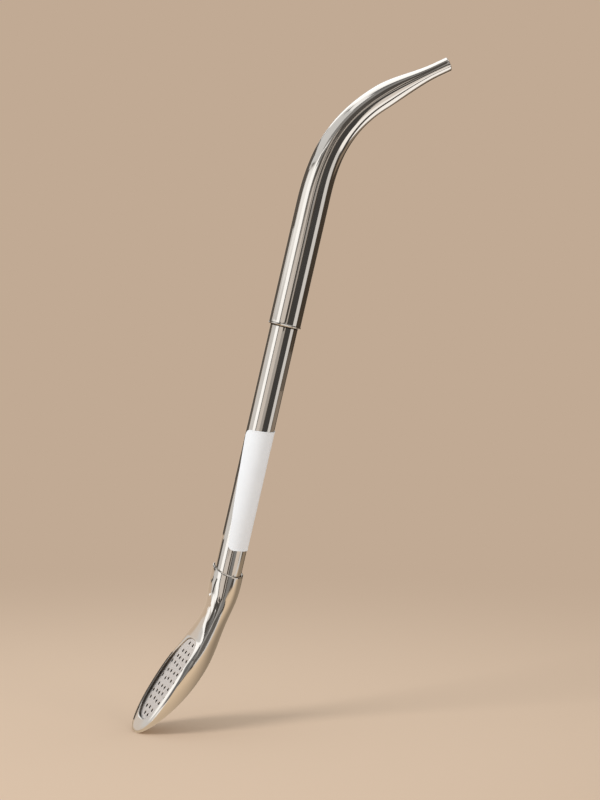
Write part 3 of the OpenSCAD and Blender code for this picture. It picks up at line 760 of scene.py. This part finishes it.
# Studio: a pale beige paper floor that fades into a backdrop of the same paper, soft lamps that only
# light, and a room of pale and dark panels round the straw that only the metal shows. To the metal the
# floor is a smaller table, which ends on the right and behind.
FLOOR_R, FLOOR_SIDES, FLOOR_NEAR, FLOOR_SHEEN, BACKDROP = 0.9, 96, "#CAB29B", "#FFE4C4", "#C1AA94"
GLOW_FROM, GLOW_FULL, GONE_FROM, GONE_FULL = 0.06, 0.36, 0.45, 0.85
SHEEN_BACK, SHEEN_FRONT, SHEEN_LEAST, SHEEN_MOST = 0.04, -0.03, 0.36, 0.92
TABLE_R, TABLE_R_FADE, TABLE_END, TABLE_END_FADE, TABLE_SLANT = 0.2, 0.02, 0.149, 0.005, 0.475
turns = np.linspace(0, math.tau, FLOOR_SIDES + 1)[:-1]
floor_corners = [(FLOOR_R * math.cos(t), FLOOR_R * math.sin(t), 0) for t in turns]
floor_mesh = bpy.data.meshes.new("floor")
floor_mesh.from_pydata(floor_corners, [], [tuple(range(FLOOR_SIDES))])
floor = put("floor", floor_mesh)
floor_paper, tree = new_material("backdrop_paper")
floor_mesh.materials.append(floor_paper)
rays = add(tree, "ShaderNodeLightPath")
on_floor = add(tree, "ShaderNodeTexCoord").outputs["Object"]
floor_axes = add(tree, "ShaderNodeSeparateXYZ", {0: on_floor})
from_middle = add(tree, "ShaderNodeVectorMath", {0: on_floor}, operation="LENGTH").outputs["Value"]


def fade(tree, value, start, end, low=0.0, high=1.0):
    """A smooth change from low at start to high at end."""
    return add(tree, "ShaderNodeMapRange", {
        "Value": value, "From Min": start, "From Max": end, "To Min": low, "To Max": high},
        interpolation_type="SMOOTHSTEP").outputs[0]


paper = add(tree, "ShaderNodeBsdfDiffuse", {"Color": colour(FLOOR_NEAR)})
glow = add(tree, "ShaderNodeEmission", {"Color": colour(BACKDROP)})
clear = add(tree, "ShaderNodeBsdfTransparent")
far = add(tree, "ShaderNodeMixShader", {
    0: fade(tree, from_middle, GLOW_FROM, GLOW_FULL), 1: paper, 2: glow})
gone = add(tree, "ShaderNodeMixShader", {
    0: fade(tree, from_middle, GONE_FROM, GONE_FULL), 1: far, 2: clear})
sheen_level = fade(tree, floor_axes.outputs["Y"], SHEEN_BACK, SHEEN_FRONT, SHEEN_LEAST, SHEEN_MOST)
sheen = add(tree, "ShaderNodeEmission", {"Color": colour(FLOOR_SHEEN), "Strength": sheen_level})
to_right = add(tree, "ShaderNodeMath", {
    0: floor_axes.outputs["Y"], 1: -TABLE_SLANT, 2: floor_axes.outputs["X"]}, operation="MULTIPLY_ADD")
past_edge = add(tree, "ShaderNodeMath", {
    0: fade(tree, from_middle, TABLE_R - TABLE_R_FADE, TABLE_R),
    1: fade(tree, to_right, TABLE_END - TABLE_END_FADE, TABLE_END + TABLE_END_FADE)}, operation="MAXIMUM")
table = add(tree, "ShaderNodeMixShader", {0: past_edge, 1: sheen, 2: clear})
either = add(tree, "ShaderNodeMixShader", {0: rays.outputs["Is Glossy Ray"], 1: gone, 2: table})
add(tree, "ShaderNodeOutputMaterial", {"Surface": either})

# Panels of the room, by compass angle from the camera, positive to its right, and by elevation, both in
# degrees, with their brightness and their warmth. A later panel covers an earlier one.
PANEL_EDGE, ROOM_LEVEL, WARM_GREEN, WARM_BLUE = 3.0, 0.07, 0.24, 0.45
SOFT_LIGHT, SOFT_LEVEL = (0.95, 0.98, 1, 1), 0.83
PANELS = {
    "backdrop": (172, 256, -14, 13, 0.7, 0.9),
    "pale backdrop": (-143, -104, 5, 13, 0.8, 0.45),
    "overhead": (-185, -128, 17, 66, 1.5, 0.0),
    "upper left wall": (-128, -62, 24, 80, 0.2, 0.0),
    "top left strip": (-130, -72, 48, 58, 1.2, 0.0),
    "top": (-140, -106, 58, 80, 1.4, 0.0),
    "upper front": (-62, -24, 18, 66, 0.32, 0.1),
    "ceiling": (-20, 172, 50, 90, 1.2, 0.1),
    "left wall top": (-150, -95, 11.5, 24, 0.8, 0.1),
    "left window top": (-95, -50, 11.5, 22.5, 1.15, 0.05),
    "white strip": (-145, -117, 16, 23.5, 1.4, 0.0),
    "left window": (-66, -41, -8, 24, 1.4, 0.0),
    "left wall": (-104, -66, -14, 12, 0.8, 0.1),
    "grey post": (-41, -35, -14, 24, 0.25, 0.1),
    "left curtain": (-35, -5, -14, 8, 0.8, 0.35),
    "dark front": (-34, 3, 9, 50, 0.1, 0.4),
    "dark middle": (-14, 3, 3.5, 12, 0.1, 0.4),
    "dark line": (-3, 5, -5, 3, 0.06, 0.5),
    "grey front": (3, 80, -1, 42, 0.45, 0.1),
    "pale front": (30, 50, 2, 14, 0.75, 0.1),
    "pale line": (8, 15, -7, -1, 0.6, 0.4),
    "low pale line": (4, 9, -16, -6, 0.6, 0.3),
    "dark right": (18, 61, -60, -3.5, 0.07, 0.2),
    "low dark right": (9.5, 61, -60, -8, 0.07, 0.2),
    "table": (9, 32, -62, -33, 0.95, 0.3),
    "right table": (30, 62, -62, -38, 0.95, 0.3),
    "right card": (61, 90, -60, -3, 0.85, 0.1),
    "dim right": (112, 172, -25, -14, 0.3, 1.0),
    "right bounce": (62, 170, -70, -26, 1.3, 0.12),
    "shadow line": (98, 121, -60, -22, 0.08, 0.5),
}


def warmed(level, warmth):
    """A grey of this level, whose green and blue fall with its warmth."""
    return (level, level * (1 - WARM_GREEN * warmth), level * (1 - WARM_BLUE * warmth), 1)


world = bpy.data.worlds.new("studio")
bpy.context.scene.world = world
tree = clear_tree(world)
toward = add(tree, "ShaderNodeSeparateXYZ", {0: add(tree, "ShaderNodeTexCoord").outputs["Generated"]})
nearer = add(tree, "ShaderNodeMath", {0: toward.outputs["Y"], 1: -1.0}, operation="MULTIPLY")
compass = add(tree, "ShaderNodeMath", {0: toward.outputs["X"], 1: nearer}, operation="ARCTAN2")
compass = add(tree, "ShaderNodeMath", {0: compass}, operation="DEGREES")
elevation = add(tree, "ShaderNodeMath", {0: toward.outputs["Z"]}, operation="ARCSINE")
elevation = add(tree, "ShaderNodeMath", {0: elevation}, operation="DEGREES")
room = warmed(ROOM_LEVEL, 1)
for left, right, low, high, level, warmth in PANELS.values():
    inside = []
    for angle, start, end in ((compass, left, right), (elevation, low, high)):
        apart = add(tree, "ShaderNodeMath", {0: angle, 1: (start + end) / 2}, operation="SUBTRACT")
        nearest = add(tree, "ShaderNodeMath", {0: apart, 1: 180.0, 2: -180.0}, operation="WRAP")
        off = add(tree, "ShaderNodeMath", {0: nearest}, operation="ABSOLUTE")
        half = (end - start) / 2
        inside.append(fade(tree, off, half + PANEL_EDGE / 2, half - PANEL_EDGE / 2))
    on_panel = add(tree, "ShaderNodeMath", {0: inside[0], 1: inside[1]}, operation="MULTIPLY")
    room = add(tree, "ShaderNodeMix", {
        "Factor": on_panel, 6: room, 7: warmed(level, warmth)}, data_type="RGBA").outputs[2]
shiny = add(tree, "ShaderNodeBackground", {"Color": room, "Strength": 1.0})
soft = add(tree, "ShaderNodeBackground", {"Color": SOFT_LIGHT, "Strength": SOFT_LEVEL})
seen = add(tree, "ShaderNodeBackground", {"Color": colour(BACKDROP), "Strength": 1.0})
rays = add(tree, "ShaderNodeLightPath")
lit = add(tree, "ShaderNodeMixShader", {0: rays.outputs["Is Glossy Ray"], 1: soft, 2: shiny})
shown = add(tree, "ShaderNodeMixShader", {0: rays.outputs["Is Camera Ray"], 1: lit, 2: seen})
add(tree, "ShaderNodeOutputWorld", {"Surface": shown})

# Cards stand from 5 to 300 mm off the straw, where only the metal shows them. Each is a strip given by the
# middles of its foot and its head, its half width, its brightness and its warmth. Most face the straw's
# middle, and those in the second table face the neck.
CARDS = {
    "behind the stem": ((-0.0455, 0.0688, 0.078), (-0.0127, 0.0688, 0.22), 0.036, 0.13, 0.6),
    "behind the stem's foot": ((-0.0142, 0.0165, 0.0485), (-0.0121, 0.0165, 0.058), 0.009, 0.13, 0.6),
    "behind the label": ((-0.0081, 0.0303, 0.058), (0.0012, 0.0303, 0.0985), 0.0142, 0.13, 0.6),
    "right of the stem": ((0.0736, 0.0322, 0.035), (0.0848, 0.0322, 0.0835), 0.025, 0.3, 0.8),
    "right of the stem, higher": ((0.0848, 0.0322, 0.0835), (0.0875, 0.0322, 0.0955), 0.025, 0.17, 0.8),
    "right of the stem's foot": ((0.0444, -0.0085, 0.0372), (0.0462, -0.0085, 0.048), 0.0065, 0.85, 0.5),
    "before the stem": ((0.0287, -0.0318, 0.053), (0.0429, -0.0318, 0.1124), 0.0062, 0.5, 0.3),
    "behind the far rim": ((-0.018, 0.0315, 0.0045), (-0.0026, 0.039, 0.0246), 0.005, 0.1, 0.6),
    "before the neck": ((-0.061, -0.288, 0.04), (-0.061, -0.288, 0.07), 0.058, 0.1, 0.4),
    "right of the neck": ((0.08, -0.0775, 0.0105), (0.08, -0.0775, 0.042), 0.03, 0.27, 0.1),
    "past the table": ((0.13, -0.05, 0.005), (0.13, -0.05, 0.03), 0.02, 0.16, 0.2),
    "beside the sleeve": ((-0.044, 0.0297, 0.165), (-0.0371, 0.0297, 0.195), 0.009, 0.13, 0.6),
    "above the bend": ((-0.02, 0.053, 0.2065), (-0.02, 0.053, 0.262), 0.04, 0.8, 0.0),
    "beside the bend": ((-0.085, 0.004, 0.2216), (-0.085, 0.004, 0.345), 0.075, 0.8, 0.0),
    "left of the bend": ((-0.019, -0.0655, 0.19), (-0.019, -0.0655, 0.204), 0.012, 0.3, 0.1),
    "pale, left of the bend": ((0.026, -0.089, 0.162), (0.011, -0.075, 0.205), 0.005, 0.55, 0.4),
    "pale, before the bend": ((0.0645, -0.095, 0.16), (0.0685, -0.095, 0.215), 0.005, 0.6, 0.4),
}
NECK_CARDS = {
    "white, by the neck": ((0.0174, 0.0013, 0.0388), (0.0162, 0.0046, 0.0356), 0.00115, 1.4, 0.0),
    "white, by the face": ((-0.00375, 0.0112, 0.0381), (-0.0012, 0.0235, 0.0359), 0.00055, 1.4, 0.0),
    "dark, by the face": ((-0.0137, 0.0095, 0.046), (-0.0116, 0.025, 0.0418), 0.0014, 0.1, 0.4),
    "dark, by the neck": ((0.0199, -0.0014, 0.038), (0.015, 0.0049, 0.0323), 0.0008, 0.1, 0.4),
    "dark, below the collar": ((0.0183, 0.0011, 0.0438), (0.0164, 0.0039, 0.0392), 0.00075, 0.12, 0.5),
}
STRAW_MIDDLE, NECK_MIDDLE = Vector((0.045, 0.0072, 0.13)), Vector((0.0205, 0.0045, 0.0345))
faced = [(STRAW_MIDDLE, card) for card in CARDS.values()]
faced += [(NECK_MIDDLE, card) for card in NECK_CARDS.values()]
for middle, (foot, head, half, level, warmth) in faced:
    foot, head = Vector(foot), Vector(head)
    aside = (head - foot).cross(middle - foot).normalized() * half
    corners = (foot - aside, foot + aside, head + aside, head - aside)
    card_mesh = bpy.data.meshes.new("card")
    card_mesh.from_pydata([tuple(c) for c in corners], [], [(0, 1, 2, 3)])
    card = put("card", card_mesh)
    card.visible_camera = card.visible_diffuse = card.visible_shadow = card.visible_transmission = False
    card_paper, tree = new_material("card")
    card_mesh.materials.append(card_paper)
    card_light = add(tree, "ShaderNodeEmission", {"Color": warmed(level, warmth)})
    add(tree, "ShaderNodeOutputMaterial", {"Surface": card_light})

# Two soft round lamps, which the metal does not mirror, and the camera.
LAMPS = {"window_lamp": ((-0.75, -0.55, 0.85), 7.5), "fill_lamp": ((0.8, -0.7, 0.6), 1.8)}
LAMP_SIZE, LAMP_AIM, CAMERA_DIP = 0.5, Vector((0.03, 0, 0.08)), 3.3
for lamp_name, (lamp_place, power) in LAMPS.items():
    lamp_data = bpy.data.lights.new(lamp_name, "AREA")
    lamp_data.shape, lamp_data.size, lamp_data.energy = "DISK", LAMP_SIZE, power
    lamp = put(lamp_name, lamp_data)
    lamp.location = lamp_place
    lamp.rotation_mode = "QUATERNION"
    lamp.rotation_quaternion = (LAMP_AIM - lamp.location).to_track_quat("-Z", "Y")
    lamp.visible_glossy = False

camera_data = bpy.data.cameras.new("camera")
camera_data.sensor_width, camera_data.lens = 36.0, 99.0
camera_data.clip_start, camera_data.clip_end = 0.01, 20
camera = put("camera", camera_data)
camera.location = (0.04633, -0.61709, 0.12998)
camera.rotation_euler = (math.radians(90 - CAMERA_DIP), 0, 0)
bpy.context.scene.camera = camera
